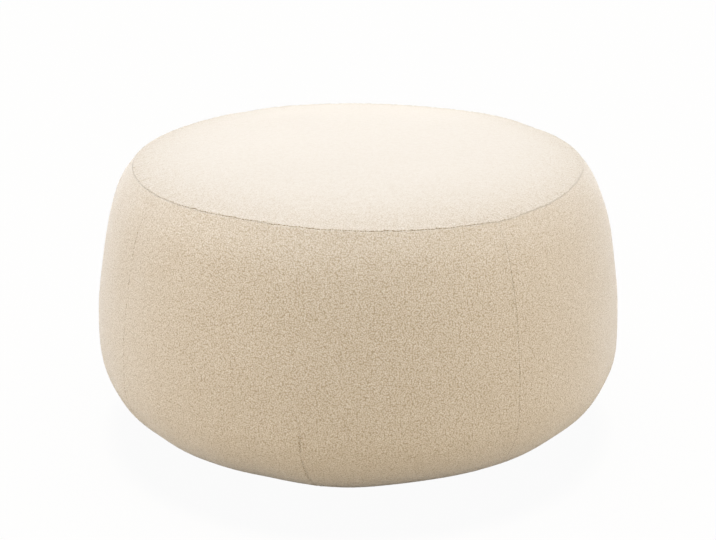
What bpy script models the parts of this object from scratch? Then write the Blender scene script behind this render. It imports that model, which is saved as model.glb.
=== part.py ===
"""Boucle pouf: a low round floor pouf, filled, sewn from six panels.

Four side panels stand round the axis, a crowned top panel lies over them and a flat base panel
under them. The filled body is divided at its own seams, so each panel is a solid that reaches
to the axis and meets its neighbours with PIECE_GAP between them.

Metres, +Z up. The origin is on the floor, under the middle of the pouf. An azimuth is measured
from -Y towards +X. A lean is the direction in which the outline climbs: 0 runs outwards along
the floor, 90 is upright and 180 runs back to the axis.
"""

from collections import namedtuple
from math import asin, cos, degrees, exp, pi, radians, sin, sqrt, tan

import bmesh
import bpy

Outline = namedtuple("Outline", "radius height lean")
Bend = namedtuple("Bend", "name radius end_lean steps")

# Overall sizes.
OUTER_RADIUS = 0.350
TOTAL_HEIGHT = 0.400
SIDE_PANELS = 4
PIECE_GAP = 0.0003

# Base panel.
BASE_RADIUS = 0.167
BASE_THICKNESS = 0.003
BASE_EDGE_ROUNDING = 0.001
BASE_SEGMENTS = 64
SIDE_BOTTOM = BASE_THICKNESS + PIECE_GAP

# The side's outline climbs from the base seam in round bends that run into each other.
BASE_SEAM_RADIUS = 0.168
BASE_SEAM_LEAN = 9.2
HIP_BEND = Bend("hip", 0.0975, 90.0, 7)
HIP_START_LEAN = 31.9
UPPER_BENDS = (
    Bend("wall", 0.668, 106.4, 5),
    Bend("shoulder", 0.113, 134.5, 4),
)
UNDER_BEND_STEPS = 5

# The top seam: both panels roll into a groove that leans in.
LIP_RADIUS = 0.0045
LIP_STEPS = 4
GROOVE_LEAN = 243.0
SEAM_DIP = 0.004
SEAM_DIP_REACH = 0.020

# The upright seams: the edge rolls in, and the cloth beside it is drawn in a little.
EDGE_RADIUS = 0.0035
SEAM_DRAW = 0.0020
SEAM_DRAW_REACH = 0.045

# The dart up the middle of each side panel.
DART_DEPTH = 0.0022
DART_WIDTH = 0.0060
DART_DRAW = 0.0005
DART_TIP_HEIGHT = 0.150
DART_FADE = 0.060

# Where a side panel's upright rows of points stand.
ROW_DISTANCES_FROM_DART = (0.0, 0.0025, 0.0060)
ROW_SHARES_BETWEEN = (0.19, 0.34, 0.49, 0.64, 0.79)
ROW_DISTANCES_FROM_SEAM = (
    0.016,
    EDGE_RADIUS,
    EDGE_RADIUS * (1 - sin(radians(30))),
    EDGE_RADIUS * (1 - sin(radians(60))),
)

# The solids' inner rings, where the flat inner faces begin.
INNER_TOP_RADIUS = 0.272
INNER_BASE_RADIUS = 0.150

# The crown: how steeply it leaves the seam, how soon the seam's dips fade towards the middle,
# and where its rings lie between middle and edge.
CROWN_EDGE_LEAN = 171.0
CROWN_DIP_POWER = 10
CROWN_SHARES = (0.97, 0.90, 0.78, 0.60, 0.38, 0.14)

SHARP_ANGLE = radians(40)
CLOTH_ROUGHNESS = 0.95
BOUCLE_COLOUR = (0.73, 0.62, 0.46, 1.0)
BASE_COLOUR = (0.42, 0.36, 0.28, 1.0)


def bend_path(start, bend_radius, end_lean, steps):
    """The points of a round bend that runs on from the outline point `start`."""
    path = []
    for step in range(1, steps + 1):
        lean = start.lean + (end_lean - start.lean) * step / steps
        outwards = bend_radius * (sin(radians(lean)) - sin(radians(start.lean)))
        upwards = bend_radius * (cos(radians(start.lean)) - cos(radians(lean)))
        path.append(Outline(start.radius + outwards, start.height + upwards, lean))
    return path


def under_bend_radius():
    """The radius of the lowest bend, which brings the hip out to OUTER_RADIUS."""
    hip_width = HIP_BEND.radius * (1 - sin(radians(HIP_START_LEAN)))
    under_width = OUTER_RADIUS - BASE_SEAM_RADIUS - hip_width
    return under_width / (sin(radians(HIP_START_LEAN)) - sin(radians(BASE_SEAM_LEAN)))


def side_outline(dip):
    """A side panel's outline, from the base seam to the foot of the top seam's groove.

    `dip` is how far down the shoulder the top seam lies here."""
    path = [Outline(BASE_SEAM_RADIUS, SIDE_BOTTOM, BASE_SEAM_LEAN)]
    path += bend_path(path[-1], under_bend_radius(), HIP_START_LEAN, UNDER_BEND_STEPS)
    path += bend_path(path[-1], HIP_BEND.radius, HIP_BEND.end_lean, HIP_BEND.steps)
    for bend in UPPER_BENDS:
        shortened = degrees(dip / bend.radius) if bend.name == "shoulder" else 0
        path += bend_path(path[-1], bend.radius, bend.end_lean - shortened, bend.steps)
    return path + bend_path(path[-1], LIP_RADIUS, GROOVE_LEAN, LIP_STEPS)


def level_foot():
    """The foot of the top seam's groove, away from the upright seams that pull it down."""
    return side_outline(0.0)[-1]


def rim_radius():
    """Radius of the top seam, at the foot of its groove."""
    return level_foot().radius


def side_top():
    """Height of the side panels' flat inner top."""
    return level_foot().height


def half_panel():
    """Half the azimuth that a side panel covers, from its dart to its upright seam."""
    return pi / SIDE_PANELS


def seam_dip(azimuth):
    """How far an upright seam pulls the top seam down, at an azimuth from the dart."""
    from_seam = rim_radius() * sin(half_panel() - abs(azimuth))
    return SEAM_DIP * exp(-((from_seam / SEAM_DIP_REACH) ** 2))


def row_azimuths(radius):
    """Azimuths of a side panel's upright rows at this radius, measured from its dart."""
    rows = [asin(distance / radius) for distance in ROW_DISTANCES_FROM_DART]
    rows += [half_panel() * share for share in ROW_SHARES_BETWEEN]
    rows += [half_panel() - asin(distance / radius) for distance in ROW_DISTANCES_FROM_SEAM]
    rows += [half_panel() - asin(PIECE_GAP / 2 / radius)]
    return [-azimuth for azimuth in reversed(rows[1:])] + rows


def edge_roll(distance):
    """Depth of the round edge that a panel rolls into its upright seam."""
    inside = min(max(EDGE_RADIUS - distance, 0.0), EDGE_RADIUS)
    return EDGE_RADIUS - sqrt(EDGE_RADIUS**2 - inside**2)


def dart_depth(distance, height):
    """Depth of the dart's groove and of the hollow that it draws beside it."""
    share = min(max((DART_TIP_HEIGHT - height) / DART_FADE, 0.0), 1.0)
    fade = share * share * (3 - 2 * share)
    groove = DART_DEPTH * max(1 - distance / DART_WIDTH, 0.0) ** 2
    return fade * (groove + DART_DRAW * exp(-((distance / SEAM_DRAW_REACH) ** 2)))


def drawn_in(point, azimuth):
    """The outline point moved inwards by the seams, the edge roll and the dart."""
    from_seam = point.radius * sin(half_panel() - abs(azimuth))
    from_dart = point.radius * sin(abs(azimuth))
    upright = max(sin(radians(point.lean)), 0.0)
    depth = edge_roll(from_seam - PIECE_GAP / 2)
    depth += SEAM_DRAW * exp(-((from_seam / SEAM_DRAW_REACH) ** 2)) * upright**4
    depth += dart_depth(from_dart, point.height)
    radius = point.radius - depth * sin(radians(point.lean))
    return radius, point.height + depth * cos(radians(point.lean))


def at(radius, height, azimuth):
    """The point at a radius and height, at an azimuth from -Y towards +X."""
    return (radius * sin(azimuth), -radius * cos(azimuth), height)


def side_section(row):
    """One closed upright section of a side panel, through its row of points number `row`."""
    apex_radius = PIECE_GAP / 2 / sin(half_panel())
    base_azimuth = row_azimuths(INNER_BASE_RADIUS)[row]
    rim_azimuth = row_azimuths(rim_radius())[row]
    section = [at(apex_radius, SIDE_BOTTOM, 0.0)]
    section.append(at(INNER_BASE_RADIUS, SIDE_BOTTOM, base_azimuth))
    for point in side_outline(seam_dip(rim_azimuth)):
        azimuth = row_azimuths(point.radius)[row]
        section.append(at(*drawn_in(point, azimuth), azimuth))
    section.append(at(INNER_TOP_RADIUS, side_top(), rim_azimuth))
    section.append(at(apex_radius, side_top(), 0.0))
    return section


def ring_edges(bm, points):
    """A closed ring of edges through the points."""
    verts = [bm.verts.new(point) for point in points]
    pairs = zip(verts, verts[1:] + verts[:1])
    return [bm.edges.new(pair) for pair in pairs]


def finished(bm, name):
    """The bmesh as a mesh, shaded smooth but for its seams and flat faces."""
    mesh = bpy.data.meshes.new(name)
    bm.to_mesh(mesh)
    bm.free()
    mesh.shade_smooth()
    mesh.set_sharp_from_angle(angle=SHARP_ANGLE)
    return mesh


def loft(name, rings):
    """A closed solid skinned over a row of rings, with its first and last ring filled.

    Each quad is split along its shorter diagonal, so that panels which meet split alike."""
    bm = bmesh.new()
    loops = [ring_edges(bm, ring) for ring in rings]
    for here, there in zip(loops, loops[1:]):
        bmesh.ops.bridge_loops(bm, edges=here + there)
    for end in (loops[0], loops[-1]):
        bmesh.ops.contextual_create(bm, geom=end)
    bmesh.ops.remove_doubles(bm, verts=bm.verts, dist=PIECE_GAP / 100)
    bmesh.ops.recalc_face_normals(bm, faces=bm.faces)
    bmesh.ops.triangulate(bm, faces=bm.faces, quad_method="SHORT_EDGE")
    return finished(bm, name)


def side_panel_mesh():
    rows = range(len(row_azimuths(OUTER_RADIUS)))
    return loft("side_panel", [side_section(row) for row in rows])


def top_rim(dip):
    """The top panel's rolled rim, from its foot in the groove to the edge of the crown."""
    foot = side_outline(dip)[-1]
    # The gap is kept to the groove's leaning wall and to the flat face under it.
    mitre = PIECE_GAP * tan(radians(GROOVE_LEAN - 180) / 2)
    rim = Outline(foot.radius - mitre, foot.height + PIECE_GAP, GROOVE_LEAN - 180)
    return [rim] + bend_path(rim, LIP_RADIUS, CROWN_EDGE_LEAN, LIP_STEPS)


def top_section(azimuth):
    """The top panel's outline at an azimuth from a dart: underside, rim, crown."""
    rim = top_rim(seam_dip(azimuth))
    edge = top_rim(0.0)[-1]
    section = [(INNER_TOP_RADIUS, side_top() + PIECE_GAP)]
    section += [(point.radius, point.height) for point in rim]
    for share in CROWN_SHARES:
        dipped = share**CROWN_DIP_POWER
        radius = edge.radius * share + (rim[-1].radius - edge.radius) * dipped
        height = TOTAL_HEIGHT - (TOTAL_HEIGHT - edge.height) * share**2
        section.append((radius, height + (rim[-1].height - edge.height) * dipped))
    return section


def top_panel_rings():
    """The top panel's level rings, from its flat underside over its rim to its crown."""
    rows = [-half_panel()] + row_azimuths(rim_radius())[1:-1]
    sections = [top_section(azimuth) for azimuth in rows]
    rings = []
    for ring in zip(*sections):
        points = []
        for panel in range(SIDE_PANELS):
            turn = 2 * half_panel() * panel
            points += [at(*point, turn + azimuth) for point, azimuth in zip(ring, rows)]
        rings.append(points)
    return rings


def top_panel_mesh():
    return loft("top_panel", top_panel_rings())


def base_panel_mesh():
    """A flat round with its two edges rounded."""
    bm = bmesh.new()
    bmesh.ops.create_cone(
        bm,
        cap_ends=True,
        segments=BASE_SEGMENTS,
        radius1=BASE_RADIUS,
        radius2=BASE_RADIUS,
        depth=BASE_THICKNESS,
    )
    bmesh.ops.translate(bm, verts=bm.verts, vec=(0.0, 0.0, BASE_THICKNESS / 2))
    flat_edges = [edge for edge in bm.edges if edge.verts[0].co.z == edge.verts[1].co.z]
    bmesh.ops.bevel(
        bm,
        geom=flat_edges,
        offset=BASE_EDGE_ROUNDING,
        segments=2,
        profile=0.5,
        affect="EDGES",
    )
    return finished(bm, "base_panel")


def cloth_material(name, colour):
    material = bpy.data.materials.new(name)
    material.use_nodes = True
    shader = material.node_tree.nodes["Principled BSDF"]
    shader.inputs["Base Color"].default_value = colour
    shader.inputs["Roughness"].default_value = CLOTH_ROUGHNESS
    shader.inputs["Metallic"].default_value = 0.0
    return material


def place(name, mesh, material, turn=0.0):
    """Puts the mesh in the scene as a named object, turned about the axis."""
    if not mesh.materials:
        mesh.materials.append(material)
    piece = bpy.data.objects.new(name, mesh)
    piece.rotation_euler.z = turn
    bpy.context.scene.collection.objects.link(piece)


def build():
    for old in list(bpy.data.objects):
        bpy.data.objects.remove(old)
    boucle = cloth_material("boucle", BOUCLE_COLOUR)
    base_cloth = cloth_material("base_cloth", BASE_COLOUR)
    side = side_panel_mesh()
    for panel in range(SIDE_PANELS):
        place(f"side_panel_{panel + 1}", side, boucle, turn=2 * half_panel() * panel)
    place("top_panel", top_panel_mesh(), boucle)
    place("base_panel", base_panel_mesh(), base_cloth)


build()
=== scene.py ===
"""Boucle pouf: the finish of its six panels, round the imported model.

Metres, +Z up, origin on the floor under the middle. An azimuth is measured from -Y towards +X.
A lean is the direction in which the outline climbs: 0 runs outwards along the floor, 90 is
upright and 180 runs back to the axis. Each panel is a fine grid laid along its own seams, so
the pile, the rolled edges and the seams follow the cloth. A coarse cover of the same shape is
blown up by a cloth simulation first, and its swell is carried over to the fine grids.
"""

from collections import namedtuple
from math import cos, pi, radians, sin, tan

import bmesh
import bpy
import numpy as np
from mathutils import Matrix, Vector
from mathutils.kdtree import KDTree


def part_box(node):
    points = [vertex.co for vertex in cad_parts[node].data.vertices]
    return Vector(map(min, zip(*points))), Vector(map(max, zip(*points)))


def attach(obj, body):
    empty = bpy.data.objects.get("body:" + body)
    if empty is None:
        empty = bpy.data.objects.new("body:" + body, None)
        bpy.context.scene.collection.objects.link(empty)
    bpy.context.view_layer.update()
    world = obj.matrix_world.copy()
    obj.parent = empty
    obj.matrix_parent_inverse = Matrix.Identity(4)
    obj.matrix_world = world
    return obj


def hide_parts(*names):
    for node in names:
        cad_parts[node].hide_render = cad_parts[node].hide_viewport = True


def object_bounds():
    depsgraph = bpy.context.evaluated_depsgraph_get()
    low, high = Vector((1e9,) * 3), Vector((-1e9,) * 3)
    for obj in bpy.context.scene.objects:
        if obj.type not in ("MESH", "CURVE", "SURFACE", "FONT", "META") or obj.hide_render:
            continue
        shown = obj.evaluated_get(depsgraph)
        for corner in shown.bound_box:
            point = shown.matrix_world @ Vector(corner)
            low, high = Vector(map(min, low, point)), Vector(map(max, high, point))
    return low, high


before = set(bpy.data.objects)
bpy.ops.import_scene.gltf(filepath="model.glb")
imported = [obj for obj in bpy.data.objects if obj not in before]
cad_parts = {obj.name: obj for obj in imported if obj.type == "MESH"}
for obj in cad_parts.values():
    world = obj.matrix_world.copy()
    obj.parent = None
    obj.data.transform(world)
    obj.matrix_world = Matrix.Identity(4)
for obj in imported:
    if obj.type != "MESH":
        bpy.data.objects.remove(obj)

CAD_LOW, CAD_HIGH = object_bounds()
Bend = namedtuple("Bend", "name radius end_lean")
Pull = namedtuple("Pull", "name azimuth drop reach")
Lump = namedtuple("Lump", "place azimuth height out wide tall")
Sun = namedtuple("Sun", "name turn height width strength colour")

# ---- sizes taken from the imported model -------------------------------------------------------

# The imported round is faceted, so its box is a little smaller than this.
OUTER_RADIUS = 0.350
TOTAL_HEIGHT = CAD_HIGH.z
BASE_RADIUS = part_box("base_panel")[1].x
BASE_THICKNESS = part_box("base_panel")[1].z
SIDE_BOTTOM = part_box("side_panel_1")[0].z
SIDE_PANELS = 4
HALF_PANEL = pi / SIDE_PANELS
PIECE_GAP = SIDE_BOTTOM - BASE_THICKNESS

# ---- the side's outline ----------------------------------------------------------------------

BASE_OVERHANG = 0.001
BASE_SEAM_RADIUS = BASE_RADIUS + BASE_OVERHANG
BASE_SEAM_LEAN = radians(9.2)
UNDER_END_LEAN = radians(31.9)
HIP_RADIUS = 0.0975
UNDER_RADIUS = (OUTER_RADIUS - BASE_SEAM_RADIUS - HIP_RADIUS * (1 - sin(UNDER_END_LEAN))) / (
    sin(UNDER_END_LEAN) - sin(BASE_SEAM_LEAN)
)
# The cloth of the side and of the top each rolls over in a lip, into the groove of their seam.
SIDE_LIP_RADIUS = 0.0021
TOP_LIP_RADIUS = 0.0010
GROOVE_LEAN = radians(236.0)
BENDS = (
    Bend("under", UNDER_RADIUS, UNDER_END_LEAN),
    Bend("hip", HIP_RADIUS, radians(90.0)),
    Bend("wall", 0.668, radians(106.4)),
    Bend("shoulder", 0.113, radians(135.0)),
    Bend("lip", SIDE_LIP_RADIUS, GROOVE_LEAN),
)
CROWN_EDGE_LEAN = radians(167.0)
# The crown falls away by this power of the way out, and the seam's pulls grow by another.
CROWN_FULLNESS = 2.7
PULL_FADE = 10

# ---- seams -----------------------------------------------------------------------------------

# The top seam wanders up and down the shoulder, and the upright seams pull at it: a negative drop
# lifts it. It also wavers a little from stitch to stitch, in whole waves round the pouf.
TOP_SEAM_PULLS = (
    Pull("left, high", radians(-72), -0.0008, radians(18)),
    Pull("front left, bowed up", radians(-16), -0.0033, radians(17)),
    Pull("front right, low", radians(44), 0.0035, radians(26)),
    Pull("front right upright", radians(47), 0.0020, radians(3.5)),
    Pull("right, high", radians(84), -0.0022, radians(12)),
    Pull("back right upright", radians(135), 0.0030, radians(5.0)),
    Pull("back left upright", radians(-135), 0.0025, radians(5.0)),
    Pull("back right, high", radians(149), -0.0030, radians(13)),
    Pull("back left, high", radians(-138), -0.0026, radians(16)),
    Pull("back sag", radians(172), 0.0012, radians(20)),
)
SEAM_WAVER = 0.00020
SEAM_WAVES = (37, 61, 89, 127, 181, 243)
# Its lips are full in front, and flatten towards the back.
LIP_FRONT = radians(-8.0)
LIP_SPREAD = radians(48.0)
FLAT_LIP = 0.30
UPRIGHT_EDGE_RADIUS = 0.0004
UPRIGHT_GAP = 0.00015
# Closer to an upright seam than this, a point lies on it and carries no pile.
ON_SEAM = 0.00001
# Each side panel has a dart near its middle, which bends aside towards the floor.
DART_DEPTH = 0.0008
DART_WIDTH = 0.0020
DART_AZIMUTH = radians(0.7)
DART_TIP_HEIGHT = 0.160
DART_FADE = 0.020
DART_BEND_HEIGHT = 0.115
DART_BEND = 0.40
# The pile has less room beside a seam or a dart, and some even at an upright seam's edge.
SEAM_REACH = 0.003
SEAM_ROOM = 0.25
# There it parts, and the pits' painted shade darkens it: unevenly up a seam, more on one side
# of the pouf, and less just under the top.
PARTED_WAVER = 0.25
PARTED_FADE = 0.070
PARTED_SWING = 0.6
PARTED_MOST = radians(-80)
TOP_PARTED = 0.8

# ---- how fine the grids are ------------------------------------------------------------------

SIDE_COLUMNS = 300
SIDE_ROWS = 300
TOP_LINES = 300
# Lines lie closer together near a seam: by how many times more, and within what reach, which is
# in radians for columns, metres for rows and a share of the half width for the top's lines.
CROWDING = 4.0
COLUMN_REACH = 0.008
ROW_REACH = 0.010
TOP_LINE_REACH = 0.03
CROWDING_STEPS = 20001
COVER_COLUMNS = 41
COVER_ROWS = 37
COVER_TOP_LINES = 41


def crowded(low, high, count, places, reach):
    """`count` stations from low to high, which crowd together near some places."""
    fine = np.linspace(low, high, CROWDING_STEPS)
    density = np.ones_like(fine)
    for place in places:
        density += CROWDING * np.exp(-(((fine - place) / reach) ** 2))
    filled = np.concatenate([[0.0], np.cumsum((density[1:] + density[:-1]) / 2)])
    return np.interp(np.linspace(0, filled[-1], count), filled, fine)


def smooth_step(share):
    """A share from 0 to 1, eased at both ends."""
    share = np.clip(share, 0, 1)
    return share * share * (3 - 2 * share)


def turned_from(azimuth, place):
    """The angle from a place to an azimuth, from -pi to pi."""
    return (azimuth - place + pi) % (2 * pi) - pi


def polar(radius, height, azimuth):
    """Points at a radius and height, at an azimuth from -Y towards +X."""
    return np.stack([radius * np.sin(azimuth), -radius * np.cos(azimuth), height], axis=-1)


def azimuth_of(place):
    """The azimuth of places."""
    return np.arctan2(place[..., 0], -place[..., 1])


# ---- the side's shape ------------------------------------------------------------------------


def bend_spans():
    """The length of each bend of the side's outline, where the top seam is level."""
    spans = []
    lean = BASE_SEAM_LEAN
    for bend in BENDS:
        spans.append(bend.radius * (bend.end_lean - lean))
        lean = bend.end_lean
    return spans


def climb(lengths, drop, roll):
    """Radius, height and lean at these lengths up the side.

    The shoulder is `drop` shorter, and `roll` is the lip's share of its full size.
    """
    radius = np.full(np.broadcast(lengths, drop).shape, BASE_SEAM_RADIUS)
    height = np.full_like(radius, SIDE_BOTTOM)
    lean = np.full_like(radius, BASE_SEAM_LEAN)
    done, start_lean = 0.0, BASE_SEAM_LEAN
    for bend, span in zip(BENDS, bend_spans()):
        cut, bend_radius = 0.0, bend.radius
        if bend.name == "shoulder":
            cut = drop
        if bend.name == "lip":
            cut, bend_radius = span * (1 - roll), bend.radius * roll
        lengths = lengths - cut * np.clip((lengths - done) / span, 0, 1)
        span = span - cut
        along = np.clip(lengths - done, 0, span)
        turned = start_lean + along / bend_radius
        radius += bend_radius * (np.sin(turned) - np.sin(start_lean))
        height += bend_radius * (np.cos(start_lean) - np.cos(turned))
        lean += along / bend_radius
        done = done + span
        start_lean = start_lean + span / bend_radius
    return radius, height, lean


def waver(turned):
    """A seam's unevenness, from stitch to stitch."""
    return sum(np.sin(waves * turned + waves) for waves in SEAM_WAVES)


def seam_drop(azimuth):
    """How far the top seam lies below its level line, measured along the cloth."""
    pulled = sum(
        pull.drop * np.exp(-((turned_from(azimuth, pull.azimuth) / pull.reach) ** 2))
        for pull in TOP_SEAM_PULLS
    )
    return pulled + SEAM_WAVER * waver(azimuth)


def lip_roll(azimuth):
    """The lip's share of its full size: it flattens away from the front."""
    from_front = turned_from(azimuth, LIP_FRONT) / LIP_SPREAD
    return FLAT_LIP + (1 - FLAT_LIP) * np.exp(-(from_front**4))


def seam_foot(azimuth):
    """Radius and height of the foot of the top seam's groove."""
    radius, height, _ = climb(sum(bend_spans()), seam_drop(azimuth), lip_roll(azimuth))
    return radius, height


# The top seam's radius and height where it is level and its lip full.
RIM_RADIUS, SIDE_TOP = (float(value) for value in climb(sum(bend_spans()), 0.0, 1.0)[:2])


def round_edge(distance, radius):
    """Depth below the surface of a round edge, at a distance from its foot."""
    inside = np.clip(radius - distance, 0, radius)
    return radius - np.sqrt(radius**2 - inside**2)


def side_parting_shade(beside_seams, height, azimuth, below_top):
    """How far the pile parts over the upright seams and the dart, darkening them with painted
    shade.
    """
    uneven = 1 + PARTED_WAVER * waver(height / OUTER_RADIUS)
    swung = 1 + PARTED_SWING * np.cos(azimuth - PARTED_MOST)
    return (1 - beside_seams) ** 2 * uneven * swung * smooth_step(below_top / PARTED_FADE)


def side_surface(columns, rows, turn):
    """A side panel's grid, rows by columns: places, outward directions, room for the pile, and
    how far it parts over the upright seams and the dart, as painted shade.
    """
    across = np.broadcast_to(columns, (len(rows), len(columns)))
    azimuth = across + turn
    lengths = np.broadcast_to(rows[:, None], azimuth.shape)
    radius, height, lean = climb(lengths, seam_drop(azimuth), lip_roll(azimuth))
    from_seam = radius * np.sin(HALF_PANEL - np.abs(across))
    dart = DART_AZIMUTH + DART_BEND * np.clip(DART_BEND_HEIGHT - height, 0, None)
    from_dart = radius * np.sin(np.abs(across - dart))
    dart_fade = smooth_step((DART_TIP_HEIGHT - height) / DART_FADE)
    depth = round_edge(from_seam, UPRIGHT_EDGE_RADIUS)
    depth = depth + dart_fade * DART_DEPTH * np.clip(1 - from_dart / DART_WIDTH, 0, 1) ** 2
    outward = polar(np.sin(lean), -np.cos(lean), azimuth)
    place = polar(radius, height, azimuth) - depth[..., None] * outward
    beside_dart = 1 - dart_fade * (1 - smooth_step(from_dart / SEAM_REACH))
    beside_seams = smooth_step(SEAM_ROOM + from_seam / SEAM_REACH) * beside_dart
    below_top = (rows[-1] - rows)[:, None]
    parting_shade = side_parting_shade(beside_seams, height, azimuth, below_top)
    from_rim = np.minimum(rows[:, None], below_top)
    room = beside_seams * smooth_step(from_rim / SEAM_REACH) * (from_seam > ON_SEAM)
    return place, outward, room, parting_shade


def keep_to_quarter(place, turn):
    """Each side panel keeps half the seam's gap to the upright seams' own planes."""
    for side in (-1, 1):
        seam = turn + side * HALF_PANEL
        across = np.array([-side * cos(seam), -side * sin(seam), 0.0])
        inside = place @ across - UPRIGHT_GAP / 2
        place = place - np.clip(inside, None, 0)[..., None] * across
    return place


# ---- the top's shape -------------------------------------------------------------------------


def round_rings(lines):
    """A square grid whose rings become round: each point's share of the way out, and azimuth.

    The square's corners lie at the upright seams, and each of its sides is evenly divided.
    """
    across, along = np.meshgrid(lines, lines)
    share = np.maximum(np.abs(across), np.abs(along))
    with np.errstate(divide="ignore", invalid="ignore"):
        frontward = np.where(share > 0, along / share, 0)
        sideward = np.where(share > 0, across / share, 0)
    azimuth = np.where(
        np.abs(across) >= np.abs(along),
        np.where(across > 0, pi / 2, -pi / 2) + np.sign(across) * frontward * HALF_PANEL,
        np.where(along < 0, 0.0, pi) - np.sign(along) * sideward * HALF_PANEL,
    )
    return share, azimuth


def top_surface(lines):
    """The top panel's grid: as for a side panel."""
    share, azimuth = round_rings(lines)
    start_lean = GROOVE_LEAN - pi
    # Set in by this much, the top's lip keeps the gap to the side's even down in the groove.
    mitre = PIECE_GAP * tan(start_lean / 2)
    lip = TOP_LIP_RADIUS * lip_roll(azimuth)
    lip_length = lip * (CROWN_EDGE_LEAN - start_lean)
    edge_radius = RIM_RADIUS - mitre + lip * (sin(CROWN_EDGE_LEAN) - sin(start_lean))
    length = share * (edge_radius + lip_length)
    crown_share = np.minimum(length / edge_radius, 1)
    foot_radius, foot_height = seam_foot(azimuth)
    # The crown's edge lies one lip in from the seam, and the seam's pulls fade out inwards.
    edge_height = SIDE_TOP + PIECE_GAP + lip * (cos(start_lean) - cos(CROWN_EDGE_LEAN))
    fade = crown_share**PULL_FADE
    radius = crown_share * edge_radius + fade * (foot_radius - RIM_RADIUS)
    height = TOTAL_HEIGHT - (TOTAL_HEIGHT - edge_height) * crown_share**CROWN_FULLNESS
    height = height + fade * (foot_height - SIDE_TOP)
    turned = CROWN_EDGE_LEAN - np.clip(length - edge_radius, 0, lip_length) / lip
    radius = radius + lip * (np.sin(turned) - sin(CROWN_EDGE_LEAN))
    height = height + lip * (cos(CROWN_EDGE_LEAN) - np.cos(turned))
    steepest = CROWN_FULLNESS * (TOTAL_HEIGHT - edge_height) / edge_radius
    slope = steepest * crown_share ** (CROWN_FULLNESS - 1)
    lean = np.where(length < edge_radius, pi - np.arctan(slope), turned)
    outward = polar(np.sin(lean), -np.cos(lean), azimuth)
    room = smooth_step((edge_radius + lip_length - length) / SEAM_REACH)
    # Where the top's pile parts at its seam, the pits' painted shade shows.
    parting_shade = (1 - room) ** 2 * TOP_PARTED * lip_roll(azimuth)
    return polar(radius, height, azimuth), outward, room, parting_shade


# ---- the filling: uneven, and swollen by a cloth simulation ----------------------------------

# The cover starts smaller by its inset, and no point of it moves further than the cap.
COVER_INSET = 0.0018
COVER_PRESSURE = 4.0
COVER_FRAMES = 20
COVER_CAP = 0.008
COVER_STEPS = 6
COVER_MASS = 0.3
COVER_STRETCH = 5.0
COVER_SHEAR = 2.5
COVER_BENDING = 1.0
# How firmly the filling and the upright seams hold the cover back, from 0 to 1.
COVER_HOLD = 0.20
UPRIGHT_HOLD = 0.45
# Points of the cover's panels that lie closer together than this are sewn into one.
WELD = 0.0025
# The share of a grid's rows over which the swell fades in beside a level seam.
COVER_RIM = 2 / COVER_ROWS
FINE_RIM = 0.03

# Slow waves all over the filling: how many, how long, how high, and the seed of their ways.
WAVES = 18
WAVE_LENGTHS = (0.075, 0.220)
WAVE_HEIGHT = 0.00018
WAVE_SEED = 5

# Where the filling stands fuller or slacker than the even outline.
LUMPS = (
    Lump("front right, tucked under", radians(27), 0.045, -0.0034, radians(12), 0.045),
    Lump("right, tucked under", radians(64), 0.068, -0.0020, radians(10), 0.040),
    Lump("dart's left, tucked under", radians(-11), 0.050, -0.0024, radians(8), 0.040),
    Lump("front, low, full", radians(9), 0.046, 0.0014, radians(9), 0.040),
    Lump("front left, low", radians(-35), 0.068, -0.0004, radians(12), 0.050),
    Lump("left hip, slack", radians(-63), 0.122, -0.0026, radians(12), 0.045),
    Lump("left wall, slack", radians(-71), 0.250, -0.0014, radians(20), 0.045),
    Lump("left shoulder, full", radians(-82), 0.358, 0.0010, radians(14), 0.025),
    Lump("right wall, full", radians(96), 0.310, 0.0012, radians(14), 0.045),
    Lump("right shoulder, full", radians(103), 0.362, 0.0014, radians(12), 0.025),
    Lump("back rim, right of the middle, low", radians(169), 0.385, -0.0020, radians(20), 0.030),
    Lump("back rim, right, full", radians(144), 0.385, 0.0016, radians(11), 0.030),
    Lump("back rim, left, full", radians(-133), 0.385, 0.0012, radians(12), 0.030),
)
LUMP_AXIS_FADE = 0.18


def unevenness(place):
    """How far the filling stands out at some places: the named lumps, and slow waves."""
    draws = np.random.default_rng(WAVE_SEED)
    azimuth, height = azimuth_of(place), place[..., 2]
    from_axis = smooth_step(np.hypot(place[..., 0], place[..., 1]) / LUMP_AXIS_FADE)
    out = np.zeros_like(height)
    for lump in LUMPS:
        across = turned_from(azimuth, lump.azimuth) / lump.wide
        up = (height - lump.height) / lump.tall
        out += from_axis * lump.out * np.exp(-(across**2) - up**2)
    for _ in range(WAVES):
        way = draws.normal(size=3)
        way *= 2 * pi / draws.uniform(*WAVE_LENGTHS) / np.linalg.norm(way)
        out += WAVE_HEIGHT * np.sin(place @ way + draws.uniform(0, 2 * pi))
    return out


def panel_grids(columns, rows, lines):
    """Each soft panel: its name, its quarter turn (None on top), and what its surface gives."""
    for panel in range(SIDE_PANELS):
        turn = panel * 2 * HALF_PANEL
        yield (f"side_panel_{panel + 1}", turn, *side_surface(columns, rows, turn))
    yield ("top_panel", None, *top_surface(lines))


def free_of_rims(place, turn, share):
    """How far from its level seams a grid may move: 0 at the seams, and 1 away from them."""
    rows, columns = place.shape[:2]
    from_rim = np.minimum(np.arange(rows), np.arange(rows)[::-1]) / (rows - 1)
    free = smooth_step(from_rim / share)[:, None] * np.ones(columns)
    if turn is None:
        free = np.minimum(free, free.T)
    return free


def cover_stations():
    """Even columns, rows and top lines for the cover's coarse grids."""
    columns = np.linspace(-HALF_PANEL, HALF_PANEL, COVER_COLUMNS)
    rows = np.linspace(0, sum(bend_spans()), COVER_ROWS)
    return columns, rows, np.linspace(-1, 1, COVER_TOP_LINES)


def cover_start(place, outward, turn):
    """The cover before it swells: slightly smaller than the pouf, and as uneven as its filling."""
    out = unevenness(place) - COVER_INSET
    return place + (out * free_of_rims(place, turn, COVER_RIM))[..., None] * outward


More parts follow.
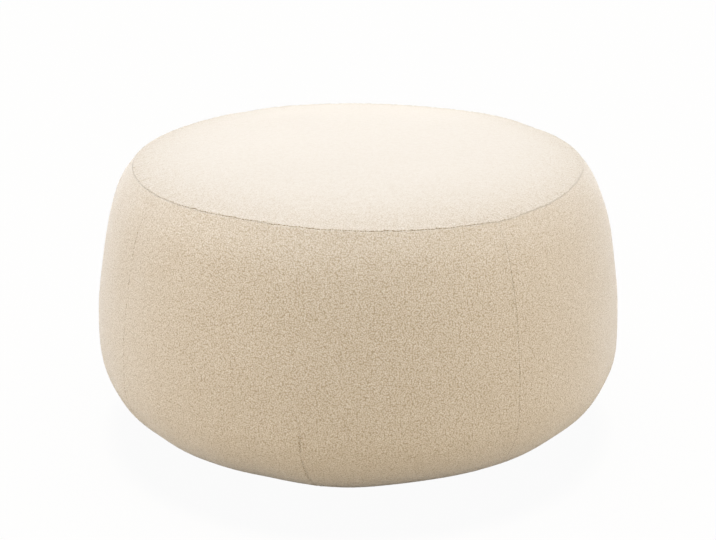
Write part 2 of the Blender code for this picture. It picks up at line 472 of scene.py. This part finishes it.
def grid_mesh(name, place):
    """A grid through the places, an array of rows by columns."""
    rows, columns = place.shape[:2]
    bm = bmesh.new()
    bmesh.ops.create_grid(bm, x_segments=columns - 1, y_segments=rows - 1, size=1.0)
    mesh = bpy.data.meshes.new(name)
    bm.to_mesh(mesh)
    bm.free()
    mesh.vertices.foreach_set("co", place.astype(np.float32).ravel())
    mesh.update()
    return mesh


def vertex_places(mesh):
    """A mesh's vertices as an array of places."""
    place = np.zeros(len(mesh.vertices) * 3, dtype=np.float32)
    mesh.vertices.foreach_get("co", place)
    return place.reshape(-1, 3)


def boundary(bm):
    """The open edges of a mesh."""
    return [edge for edge in bm.edges if edge.is_boundary]


def sewn_cover():
    """One closed coarse cover through all the panels."""
    bm = bmesh.new()
    for _, turn, place, outward, *_ in panel_grids(*cover_stations()):
        mesh = grid_mesh("cover_panel", cover_start(place, outward, turn))
        bm.from_mesh(mesh)
        bpy.data.meshes.remove(mesh)
    bmesh.ops.remove_doubles(bm, verts=bm.verts[:], dist=WELD)
    bmesh.ops.contextual_create(bm, geom=boundary(bm))
    cover = bpy.data.objects.new("cover", bpy.data.meshes.new("cover"))
    bm.to_mesh(cover.data)
    bm.free()
    bpy.context.scene.collection.objects.link(cover)
    return cover


def hold_seams(cover, start):
    """The level seams stay put, and the upright ones and the filling hold the rest softly."""
    radius = np.hypot(start[:, 0], start[:, 1])
    azimuth = azimuth_of(start)
    foot_radius, foot_height = seam_foot(azimuth)
    from_upright = radius * np.abs(turned_from(azimuth, HALF_PANEL) % (2 * HALF_PANEL))
    upright = (from_upright < WELD) & (radius > BASE_SEAM_RADIUS) & (start[:, 2] < SIDE_TOP)
    level = np.hypot(radius - foot_radius, start[:, 2] - foot_height) < WELD
    level |= start[:, 2] < SIDE_BOTTOM + WELD / 2
    anywhere = np.ones_like(level)
    group = cover.vertex_groups.new(name="held")
    for vertices, weight in ((anywhere, COVER_HOLD), (upright, UPRIGHT_HOLD), (level, 1.0)):
        group.add(np.flatnonzero(vertices).tolist(), weight, "REPLACE")
    return group


def cover_swell():
    """How far out each panel's coarse grid stands once the filling has swollen the cover."""
    cover = sewn_cover()
    start = vertex_places(cover.data)
    cloth = cover.modifiers.new("cloth", "CLOTH")
    cloth.settings.vertex_group_mass = hold_seams(cover, start).name
    cloth.settings.quality = COVER_STEPS
    cloth.settings.mass = COVER_MASS
    cloth.settings.tension_stiffness = COVER_STRETCH
    cloth.settings.compression_stiffness = COVER_STRETCH
    cloth.settings.shear_stiffness = COVER_SHEAR
    cloth.settings.bending_stiffness = COVER_BENDING
    cloth.settings.use_pressure = True
    cloth.settings.uniform_pressure_force = COVER_PRESSURE
    cloth.settings.effector_weights.gravity = 0
    cloth.collision_settings.use_collision = False
    cloth.point_cache.frame_start = 1
    cloth.point_cache.frame_end = COVER_FRAMES
    for number in range(1, COVER_FRAMES + 1):
        bpy.context.scene.frame_set(number)
    end = vertex_places(cover.evaluated_get(bpy.context.evaluated_depsgraph_get()).data)
    moved = end - start
    length = np.linalg.norm(moved, axis=-1, keepdims=True)
    moved *= COVER_CAP / np.maximum(length, COVER_CAP)
    tree = KDTree(len(start))
    for index, point in enumerate(start):
        tree.insert(point, index)
    tree.balance()
    swell = {}
    for name, turn, place, outward, *_ in panel_grids(*cover_stations()):
        begin = cover_start(place, outward, turn)
        nearest = [tree.find(point)[1] for point in begin.reshape(-1, 3)]
        whole_move = begin - place + moved[nearest].reshape(place.shape)
        swell[name] = np.sum(whole_move * outward, axis=-1)
    bpy.data.objects.remove(cover)
    bpy.context.scene.frame_set(1)
    return swell


def smooth_shares(stations, count):
    """Shares of `count` even coarse lines in the smooth curve's values at stations from 0 to 1."""
    place = np.clip(stations, 0, 1) * (count - 1)
    first = np.clip(place.astype(int), 0, count - 2)
    t = place - first
    # A Catmull-Rom curve through the coarse lines.
    parts = (
        (-1, -0.5 * t + t**2 - 0.5 * t**3),
        (0, 1 - 2.5 * t**2 + 1.5 * t**3),
        (1, 0.5 * t + 2 * t**2 - 1.5 * t**3),
        (2, -0.5 * t**2 + 0.5 * t**3),
    )
    shares = np.zeros((len(stations), count))
    for step, share in parts:
        np.add.at(shares, (np.arange(len(stations)), np.clip(first + step, 0, count - 1)), share)
    return shares


def carried_over(swell, across, along):
    """A coarse grid's swell at a fine grid's stations, both from 0 to 1."""
    rows, columns = swell.shape
    return smooth_shares(along, rows) @ swell @ smooth_shares(across, columns).T


# ---- solids ----------------------------------------------------------------------------------


def wall_to_point(bm, edges, point):
    """A wall from a row of edges to one point; returns that point's vertex."""
    made = bmesh.ops.extrude_edge_only(bm, edges=edges)["geom"]
    ends = [item for item in made if isinstance(item, bmesh.types.BMVert)]
    bmesh.ops.pointmerge(bm, verts=ends, merge_co=point)
    return next(vertex for vertex in ends if vertex.is_valid)


def wall_between(bm, edges):
    """A flat wall inside a closed loop of edges, in triangles."""
    wall = bmesh.ops.contextual_create(bm, geom=edges)["faces"]
    bmesh.ops.triangulate(bm, faces=wall)


def close_top(mesh):
    """The top panel's flat underside, from its seam to the axis."""
    bm = bmesh.new()
    bm.from_mesh(mesh)
    rim = boundary(bm)
    wall_to_point(bm, rim, Vector((0, 0, SIDE_TOP + PIECE_GAP)))
    finish_solid(bm, mesh, rim)


def close_side(mesh, turn, columns):
    """A side panel's filling: flat walls from its seams to the axis."""
    bm = bmesh.new()
    bm.from_mesh(mesh)
    rim = boundary(bm)
    last_row = len(bm.verts) - columns
    bottom = [edge for edge in rim if all(v.index < columns for v in edge.verts)]
    top = [edge for edge in rim if all(v.index >= last_row for v in edge.verts)]
    left = [edge for edge in rim if all(v.index % columns == 0 for v in edge.verts)]
    right = [edge for edge in rim if all(v.index % columns == columns - 1 for v in edge.verts)]
    bm.verts.ensure_lookup_table()
    corners = [(bm.verts[column], bm.verts[last_row + column]) for column in (0, columns - 1)]
    back = PIECE_GAP / 2 / sin(HALF_PANEL)
    low = wall_to_point(bm, bottom, Vector(polar(back, SIDE_BOTTOM, turn)))
    high = wall_to_point(bm, top, Vector(polar(back, SIDE_TOP, turn)))
    core = bm.edges.new((low, high))
    for chain, (low_corner, high_corner) in zip((left, right), corners):
        spokes = [bm.edges.get((low, low_corner)), bm.edges.get((high, high_corner))]
        wall_between(bm, chain + spokes + [core])
    finish_solid(bm, mesh, rim)


def finish_solid(bm, mesh, rim):
    """Faces outwards, and a crisp turn where the cloth meets a hidden wall."""
    for edge in rim:
        edge.smooth = False
    bmesh.ops.recalc_face_normals(bm, faces=bm.faces[:])
    bm.to_mesh(mesh)
    bm.free()


# ---- nodes -----------------------------------------------------------------------------------


def add_node(tree, kind, settings=None, links=None):
    """A new node: settings are its properties and input values, links the sockets that feed it.

    An input goes by its identifier, because two inputs of one node may share a name.
    """
    node = tree.nodes.new(kind)
    values = settings or {}
    for name in values:
        if hasattr(node, name):
            setattr(node, name, values[name])
    inputs = {socket.identifier: socket for socket in node.inputs}
    for name in values:
        if name in inputs:
            inputs[name].default_value = values[name]
    for name, source in (links or {}).items():
        tree.links.new(source, inputs[name])
    return node


# ---- the pile --------------------------------------------------------------------------------

# Loops of yarn 2 mm across stand in tufts of a few, 4.2 mm across. Both stray from an even
# pattern by a slow noise.
LOOP_SIZE = 0.0020
LOOP_DRIFT_SCALE = 0.55 / LOOP_SIZE
TUFT_SIZE = 0.0042
TUFT_DRIFT_SCALE = 0.5 / TUFT_SIZE
TUFT_HEIGHT = 0.00035
DRIFT_IN_SIZES = 1.2
# The distances from its middle at which a loop or a tuft stands highest and lowest, in sizes.
LOOP_TIP, LOOP_FOOT = 0.1, 0.85
TUFT_TIP, TUFT_FOOT = 0.05, 0.75
TUFT_SMOOTHNESS = 0.6

# How high the pile stands, from 0, pressed flat, to 1, and with it how much of the pits'
# painted shade shows: the top, lit from above, is pale and nearly even, and both panels come
# to a middle level at the top seam.
SIDE_NAP = 1.0
SEAM_NAP = 0.75
TOP_NAP = 0.10
NAP_REACH = 0.045
# Where it parts over a seam or a dart it reads as higher still, so the loops' dark feet show:
# painted shade along the seam.
PARTED_NAP = 1.4
# A tuft's height follows the pile's by this power, so that pressing flattens it less.
TUFT_NAP = 0.4


def pile_nap(place, parting_shade, turn):
    """How high the pile stands on a panel's grid, fully on the sides and least on the top's
    middle, and so how much of the pits' painted shade shows.
    """
    if turn is None:
        middle, from_seam = TOP_NAP, RIM_RADIUS - np.hypot(place[..., 0], place[..., 1])
    else:
        middle, from_seam = SIDE_NAP, SIDE_TOP - place[..., 2]
    nap_and_shade = middle + (SEAM_NAP - middle) * np.exp(-np.clip(from_seam, 0, None) / NAP_REACH)
    return nap_and_shade + PARTED_NAP * parting_shade


def cloth_place(place, turn, columns, rows):
    """Where a panel's grid lies on its flat cloth."""
    if turn is None:
        return place[..., :2]
    across = turn + columns * np.hypot(place[..., 0], place[..., 1])
    return np.stack([across, np.broadcast_to(rows[:, None], across.shape)], axis=-1)


def keep_values(mesh, name, values):
    """Keeps a grid's values, one or two each, as its mesh's attribute; the hidden walls get 0."""
    kind, field = ("FLOAT", "value") if values.ndim == 2 else ("FLOAT2", "vector")
    kept = mesh.attributes.new(name, kind, "POINT")
    padded = np.zeros(len(mesh.vertices) * (values.ndim - 1), dtype=np.float32)
    padded[: values.size] = values.ravel()
    kept.data.foreach_set(field, padded)


def strayed(tree, place, scale, size):
    """Places moved about by a slow noise, by up to DRIFT_IN_SIZES of a loop's or tuft's size."""
    drift = add_node(tree, "ShaderNodeTexNoise", {"Scale": scale, "Detail": 1.0}, {"Vector": place})
    return add_node(
        tree,
        "ShaderNodeVectorMath",
        {"operation": "MULTIPLY_ADD", "Vector_001": (size * DRIFT_IN_SIZES,) * 3},
        {"Vector": drift.outputs["Color"], "Vector_002": place},
    ).outputs[0]


def pile_nodes():
    """Raises a panel's cloth into the tufts of its pile, as far as its room for pile allows."""
    tree = bpy.data.node_groups.new("pile", "GeometryNodeTree")
    kind = "NodeSocketGeometry"
    tree.interface.new_socket("Geometry", in_out="INPUT", socket_type=kind)
    result = tree.interface.new_socket("Geometry", in_out="OUTPUT", socket_type=kind)
    entry = add_node(tree, "NodeGroupInput").outputs[0]
    place = add_node(tree, "GeometryNodeInputPosition").outputs[0]
    astray = strayed(tree, place, TUFT_DRIFT_SCALE, TUFT_SIZE)
    tufts = add_node(
        tree,
        "ShaderNodeTexVoronoi",
        {"feature": "SMOOTH_F1", "Scale": 1 / TUFT_SIZE, "Smoothness": TUFT_SMOOTHNESS},
        {"Vector": astray},
    ).outputs["Distance"]
    rise = add_node(
        tree,
        "ShaderNodeMapRange",
        {
            "From Min": TUFT_FOOT,
            "From Max": TUFT_TIP,
            "To Min": -TUFT_HEIGHT / 2,
            "To Max": TUFT_HEIGHT / 2,
        },
        {"Value": tufts},
    ).outputs[0]
    room = add_node(
        tree, "GeometryNodeInputNamedAttribute", {"data_type": "FLOAT", "Name": "pile_room"}
    )
    fitted = add_node(
        tree,
        "ShaderNodeMath",
        {"operation": "MULTIPLY"},
        {"Value": rise, "Value_001": room.outputs[0]},
    ).outputs[0]
    outward = add_node(tree, "GeometryNodeInputNormal").outputs[0]
    offset = add_node(
        tree,
        "ShaderNodeVectorMath",
        {"operation": "SCALE"},
        {"Vector": outward, "Scale": fitted},
    ).outputs[0]
    raised = add_node(tree, "GeometryNodeSetPosition", None, {"Geometry": entry, "Offset": offset})
    kept = add_node(
        tree,
        "GeometryNodeStoreNamedAttribute",
        {"data_type": "FLOAT", "domain": "POINT", "Name": "tuft_rise"},
        {"Geometry": raised.outputs[0], "Value": fitted},
    ).outputs[0]
    add_node(tree, "NodeGroupOutput", None, {result.identifier: kept})
    return tree


# ---- materials -------------------------------------------------------------------------------

# The pits' colour is painted shade in the hollows between the loops; towards the tips the yarn's
# grain shows.
BOUCLE_TIP = "#e4ded4"
BOUCLE_BODY = "#c6b6a0"
BOUCLE_PIT_SHADE = "#9f8d70"
# The body's colour lies at this share from the pits' to the tips'.
BODY_SHARE = 0.58
# The levels of the loops, fibres and tufts together at which the pits' colour, a painted shade,
# and the tips' colour are reached, and the even, pale level of pile that is pressed flat.
PIT_LEVEL = 0.1
TIP_LEVEL = 1.635
PRESSED_LEVEL = 1.35
# How much the fibres and a whole tuft's rise add to a loop's own level; a low tuft's feet so
# take more of the pits' painted shade.
FIBRE_SHARE = 0.8
TUFT_SHADE_TONE = 0.28
# A wool fibre is far too fine to show, so the fibres are drawn 1.2 mm wide.
FIBRE_SIZE = 0.0012
LOOP_HEIGHT = 0.0011
LOOP_BUMP = 0.35
BASE_CLOTH = "#8d8273"
BASE_CLOTH_DARK = "#6f6558"
# Real threads lie about 0.5 mm apart, too fine to show, so they are drawn 1.4 mm apart.
THREAD_SPACING = 0.0014
# The share of the threads' rise at which their full colour is reached.
THREAD_TOP_SHARE = 0.8
THREAD_BUMP = 0.5


def linear(colour):
    """A hex sRGB colour as linear values, with its alpha."""
    values = [int(colour[place : place + 2], 16) / 255 for place in (1, 3, 5)]
    return [v / 12.92 if v <= 0.04045 else ((v + 0.055) / 1.055) ** 2.4 for v in values] + [1.0]


def new_material(name, surface):
    """A material of one surface shader, and its tree, ready for the nodes that feed it."""
    material = bpy.data.materials.new(name)
    material.use_nodes = True
    tree = material.node_tree
    tree.nodes.clear()
    shader = add_node(tree, "ShaderNodeBsdfPrincipled", surface)
    add_node(tree, "ShaderNodeOutputMaterial", None, {"Surface": shader.outputs[0]})
    return material, tree, {socket.identifier: socket for socket in shader.inputs}


def colour_ramp(tree, share, stops):
    """Colours along a share from 0 to 1: (share, hex colour) stops, in order."""
    ramp = add_node(tree, "ShaderNodeValToRGB", None, {"Fac": share})
    elements = ramp.color_ramp.elements
    for place, colour in stops[1:-1]:
        elements.new(place).color = linear(colour)
    for end in (0, -1):
        elements[end].position = stops[end][0]
        elements[end].color = linear(stops[end][1])
    return ramp.outputs["Color"]


def boucle_material():
    """Boucle: a curly looped yarn of wool and cotton, brushed so that its loops stand close.

    To the eye it is a dense matt grain of pale curls with small dark pits between them, and a
    pale bloom where its fuzz is seen edge on. The pits' dark colour is painted shade.
    """
    material, tree, surface = new_material(
        "boucle_looped_wool",
        {
            "Roughness": 0.92,
            "Specular IOR Level": 0.2,
            "Sheen Weight": 0.61,
            "Sheen Roughness": 0.5,
        },
    )
    place = add_node(tree, "ShaderNodeAttribute", {"attribute_name": "cloth"}).outputs["Vector"]
    curled = strayed(tree, place, LOOP_DRIFT_SCALE, LOOP_SIZE)
    loops = add_node(
        tree,
        "ShaderNodeTexVoronoi",
        {"voronoi_dimensions": "2D", "feature": "F1", "Scale": 1 / LOOP_SIZE, "Randomness": 0.9},
        {"Vector": curled},
    ).outputs["Distance"]
    fibres = add_node(
        tree, "ShaderNodeTexNoise", {"Scale": 1 / FIBRE_SIZE, "Detail": 1.5}, {"Vector": curled}
    ).outputs["Fac"]
    rise = add_node(
        tree, "ShaderNodeMapRange", {"From Min": LOOP_FOOT, "From Max": LOOP_TIP}, {"Value": loops}
    ).outputs[0]
    height = add_node(
        tree,
        "ShaderNodeMath",
        {"operation": "MULTIPLY_ADD", "Value_001": FIBRE_SHARE},
        {"Value": fibres, "Value_002": rise},
    ).outputs[0]
    # The pile's level also sets how much of the pits' painted shade shows: little on the top, lit
    # from above.
    nap_and_shade = add_node(tree, "ShaderNodeAttribute", {"attribute_name": "nap_and_shade"}).outputs["Fac"]
    pressed = add_node(
        tree,
        "ShaderNodeMix",
        {"clamp_factor": False, "A_Float": PRESSED_LEVEL},
        {"Factor_Float": nap_and_shade, "B_Float": height},
    ).outputs[0]
    # A tuft's low feet take more of the pits' painted shade.
    tuft = add_node(tree, "ShaderNodeAttribute", {"attribute_name": "tuft_rise"}).outputs["Fac"]
    toned = add_node(
        tree,
        "ShaderNodeMath",
        {"operation": "MULTIPLY_ADD", "Value_001": TUFT_SHADE_TONE / TUFT_HEIGHT},
        {"Value": tuft, "Value_002": pressed},
    ).outputs[0]
    share = add_node(
        tree, "ShaderNodeMapRange", {"From Min": PIT_LEVEL, "From Max": TIP_LEVEL}, {"Value": toned}
    ).outputs[0]
    stops = ((0.0, BOUCLE_PIT_SHADE), (BODY_SHARE, BOUCLE_BODY), (1.0, BOUCLE_TIP))
    tree.links.new(colour_ramp(tree, share, stops), surface["Base Color"])
    bump = add_node(
        tree,
        "ShaderNodeBump",
        {"Strength": LOOP_BUMP, "Distance": LOOP_HEIGHT},
        {"Height": pressed},
    )
    tree.links.new(bump.outputs[0], surface["Normal"])
    return material


def base_cloth_material():
    """Plain-woven cotton: dull crossing threads, with a small shadow at each crossing."""
    material, tree, surface = new_material(
        "base_plain_woven_cotton", {"Roughness": 0.95, "Specular IOR Level": 0.2}
    )
    place = add_node(tree, "ShaderNodeTexCoord").outputs["Object"]
    threads = [
        add_node(
            tree,
            "ShaderNodeTexWave",
            # A wave texture of scale 1 has a band every pi / 10 of a metre.
            {"wave_type": "BANDS", "bands_direction": way, "Scale": pi / 10 / THREAD_SPACING},
            {"Vector": place},
        ).outputs["Fac"]
        for way in ("X", "Y")
    ]
    weave = add_node(
        tree,
        "ShaderNodeMath",
        {"operation": "MULTIPLY"},
        {"Value": threads[0], "Value_001": threads[1]},
    ).outputs[0]
    stops = ((0.0, BASE_CLOTH_DARK), (THREAD_TOP_SHARE, BASE_CLOTH))
    tree.links.new(colour_ramp(tree, weave, stops), surface["Base Color"])
    bump = add_node(
        tree,
        "ShaderNodeBump",
        {"Strength": THREAD_BUMP, "Distance": THREAD_SPACING / 4},
        {"Height": weave},
    )
    tree.links.new(bump.outputs[0], surface["Normal"])
    return material


# ---- pieces ----------------------------------------------------------------------------------

BASE_EDGE_RADIUS = 0.0012
BASE_EDGE_POINTS = 4
BASE_STEPS = 96
BASE_STITCH_INSET = 0.012
BASE_STITCH_DEPTH = 0.0006
SPIN_WELD = 0.00001
CRISP_TURN = radians(50)


def add_piece(name, mesh, material, node):
    """A finished piece in place of its CAD node, riding on the one body."""
    piece = bpy.data.objects.new(name, mesh)
    bpy.context.scene.collection.objects.link(piece)
    mesh.materials.append(material)
    mesh.shade_smooth()
    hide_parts(node)
    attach(piece, "root")
    return piece


def raise_pile(piece, pile):
    """Runs the pile's nodes on a piece and keeps their result as its mesh."""
    modifier = piece.modifiers.new("pile", "NODES")
    modifier.node_group = pile
    raised = piece.evaluated_get(bpy.context.evaluated_depsgraph_get())
    mesh = bpy.data.meshes.new_from_object(raised)
    mesh.name = piece.name
    piece.modifiers.clear()
    piece.data = mesh


def fine_stations():
    """The fine grids' columns, rows and top lines, which crowd together near the seams."""
    edges = (-HALF_PANEL, HALF_PANEL)
    length = sum(bend_spans())
    columns = crowded(*edges, SIDE_COLUMNS, (*edges, DART_AZIMUTH), COLUMN_REACH)
    rows = crowded(0, length, SIDE_ROWS, (length,), ROW_REACH)
    return columns, rows, crowded(-1, 1, TOP_LINES, (-1, 1), TOP_LINE_REACH)


def filled_place(place, outward, turn, stations, swell):
    """Where a fine grid lies over the filling: swollen, or without a swell only uneven."""
    if swell is None:
        out = unevenness(place)
    else:
        shares = [(part - part[0]) / (part[-1] - part[0]) for part in stations]
        out = carried_over(swell, *shares)
    out = out * free_of_rims(place, turn, FINE_RIM)
    place = place + out[..., None] * outward
    return place if turn is None else keep_to_quarter(place, turn)


def add_soft_panels(material):
    """The four side panels and the top: fine cloth over the swollen filling."""
    swell = cover_swell()
    pile = pile_nodes()
    columns, rows, lines = fine_stations()
    for name, turn, place, outward, room, parting_shade in panel_grids(columns, rows, lines):
        stations = (lines, lines) if turn is None else (columns, rows)
        place = filled_place(place, outward, turn, stations, swell.get(name))
        mesh = grid_mesh(name + "_boucle", place)
        if turn is None:
            close_top(mesh)
        else:
            close_side(mesh, turn, len(columns))
        nap_and_shade = pile_nap(place, parting_shade, turn)
        keep_values(mesh, "pile_room", room * nap_and_shade**TUFT_NAP)
        keep_values(mesh, "nap_and_shade", nap_and_shade)
        keep_values(mesh, "cloth", cloth_place(place, turn, columns, rows))
        piece = add_piece(name + "_boucle", mesh, material, name)
        raise_pile(piece, pile)


def add_base(material):
    """The base cloth: a thin round panel with a soft edge and one turned-in stitch line."""
    corner = [
        (BASE_RADIUS - BASE_EDGE_RADIUS * (1 - sin(turn)), BASE_EDGE_RADIUS * (1 - cos(turn)))
        for turn in np.linspace(0, pi / 2, BASE_EDGE_POINTS)
    ]
    stitch = BASE_RADIUS - BASE_STITCH_INSET
    under = [
        (0, 0),
        (stitch / 2, 0),
        (stitch - 2 * BASE_STITCH_DEPTH, 0),
        (stitch, BASE_STITCH_DEPTH),
        (stitch + 2 * BASE_STITCH_DEPTH, 0),
    ]
    upper = [(radius, BASE_THICKNESS - height) for radius, height in reversed(corner)]
    profile = under + corner + upper + [(0, BASE_THICKNESS)]
    bm = bmesh.new()
    points = [bm.verts.new((radius, 0, height)) for radius, height in profile]
    line = [bm.edges.new(pair) for pair in zip(points, points[1:])]
    bmesh.ops.spin(
        bm,
        geom=points + line,
        axis=(0, 0, 1),
        cent=(0, 0, 0),
        angle=2 * pi,
        steps=BASE_STEPS,
        use_merge=True,
    )
    bmesh.ops.remove_doubles(bm, verts=bm.verts[:], dist=SPIN_WELD)
    bmesh.ops.recalc_face_normals(bm, faces=bm.faces[:])
    mesh = bpy.data.meshes.new("base_panel_cloth")
    bm.to_mesh(mesh)
    bm.free()
    piece = add_piece("base_panel_cloth", mesh, material, "base_panel")
    mesh.set_sharp_from_angle(angle=CRISP_TURN)


# ---- studio ----------------------------------------------------------------------------------

CAMERA_AZIMUTH = radians(11.86)
CAMERA_ELEVATION = radians(20.45)
CAMERA_DISTANCE = 2.05
CAMERA_TARGET = Vector((0, 0, 0.2183))
CAMERA_LENS = 76.58
CAMERA_SENSOR = 36.0
WORLD_LIGHT = 0.03
FLOOR_SIZE = 8.0
FLOOR_GLOW = 0.96
# The paint is dark close under the pouf, so that little light comes back up to its foot.
FLOOR_PAINT = "#cfc5b4"
FLOOR_SHADE = "#120d06"
FLOOR_SHADE_RADIUS = 0.325
FLOOR_SHADE_FADE = 0.030

# Soft lights far away: turned from the camera's side, raised above the floor, and as wide as
# they look from the pouf.
SUNS = (
    Sun("overhead", radians(0), radians(90), radians(70), 2.93, "#e3edff"),
    Sun("left", radians(-100), radians(15), radians(40), 1.53, "#fff9f3"),
    Sun("right", radians(100), radians(15), radians(40), 1.31, "#fff5e6"),
    Sun("back", radians(180), radians(25), radians(40), 0.57, "#fefffb"),
    Sun("front", radians(0), radians(35), radians(40), 1.63, "#fff8e8"),
)


def way_back(azimuth, elevation):
    """The direction from the pouf to an azimuth and elevation."""
    return Vector(polar(cos(elevation), sin(elevation), azimuth))


def add_sun(sun):
    """A soft light from far away."""
    lamp = bpy.data.lights.new(sun.name, "SUN")
    lamp.energy = sun.strength
    lamp.angle = sun.width
    lamp.color = linear(sun.colour)[:3]
    light = bpy.data.objects.new(sun.name, lamp)
    bpy.context.scene.collection.objects.link(light)
    back = way_back(CAMERA_AZIMUTH + sun.turn, sun.height)
    light.rotation_euler = back.to_track_quat("Z", "Y").to_euler()


def light_world():
    """White to the eye beyond the floor, and almost no light of its own."""
    world = bpy.data.worlds.new("studio")
    bpy.context.scene.world = world
    world.use_nodes = True
    tree = world.node_tree
    tree.nodes.clear()
    seen = add_node(tree, "ShaderNodeLightPath").outputs["Is Camera Ray"]
    strength = add_node(
        tree, "ShaderNodeMath", {"operation": "MAXIMUM", "Value_001": WORLD_LIGHT}, {"Value": seen}
    ).outputs[0]
    sky = add_node(tree, "ShaderNodeBackground", {"Color": (1, 1, 1, 1)}, {"Strength": strength})
    add_node(tree, "ShaderNodeOutputWorld", None, {"Surface": sky.outputs[0]})


def floor_material():
    """Matt painted board, lit from below too, so that it is pale and its shadows are faint."""
    material, tree, surface = new_material(
        "floor_matt_paint", {"Roughness": 1.0, "Specular IOR Level": 0.0}
    )
    place = add_node(tree, "ShaderNodeTexCoord").outputs["Object"]
    from_middle = add_node(
        tree, "ShaderNodeVectorMath", {"operation": "LENGTH"}, {"Vector": place}
    ).outputs["Value"]
    clear = add_node(
        tree,
        "ShaderNodeMapRange",
        {"From Min": FLOOR_SHADE_RADIUS, "From Max": FLOOR_SHADE_RADIUS + FLOOR_SHADE_FADE},
        {"Value": from_middle},
    ).outputs[0]
    stops = ((0.0, FLOOR_SHADE), (1.0, FLOOR_PAINT))
    tree.links.new(colour_ramp(tree, clear, stops), surface["Base Color"])
    seen = add_node(tree, "ShaderNodeLightPath").outputs["Is Camera Ray"]
    share = add_node(
        tree, "ShaderNodeMath", {"operation": "MULTIPLY", "Value_001": FLOOR_GLOW}, {"Value": seen}
    ).outputs[0]
    glow = add_node(tree, "ShaderNodeEmission", {"Color": (1, 1, 1, 1)}).outputs[0]
    output = next(node for node in tree.nodes if node.type == "OUTPUT_MATERIAL")
    paint = output.inputs["Surface"].links[0].from_socket
    links = {"Fac": share, "Shader": paint, "Shader_001": glow}
    lit = add_node(tree, "ShaderNodeMixShader", None, links)
    tree.links.new(lit.outputs[0], output.inputs["Surface"])
    return material


def add_studio():
    """The world's light, the lamps and the floor."""
    light_world()
    for sun in SUNS:
        add_sun(sun)
    bm = bmesh.new()
    bmesh.ops.create_grid(bm, x_segments=1, y_segments=1, size=FLOOR_SIZE)
    mesh = bpy.data.meshes.new("floor")
    bm.to_mesh(mesh)
    bm.free()
    floor = bpy.data.objects.new("floor", mesh)
    bpy.context.scene.collection.objects.link(floor)
    mesh.materials.append(floor_material())


def add_camera():
    """The camera, from the front and a little above."""
    lens = bpy.data.cameras.new("camera")
    lens.lens = CAMERA_LENS
    lens.sensor_width = CAMERA_SENSOR
    viewer = bpy.data.objects.new("camera", lens)
    bpy.context.scene.collection.objects.link(viewer)
    back = way_back(CAMERA_AZIMUTH, CAMERA_ELEVATION)
    viewer.location = CAMERA_TARGET + CAMERA_DISTANCE * back
    viewer.rotation_euler = back.to_track_quat("Z", "Y").to_euler()
    bpy.context.scene.camera = viewer


add_soft_panels(boucle_material())
add_base(base_cloth_material())
add_studio()
add_camera()
bpy.context.scene.view_settings.view_transform = "Standard"
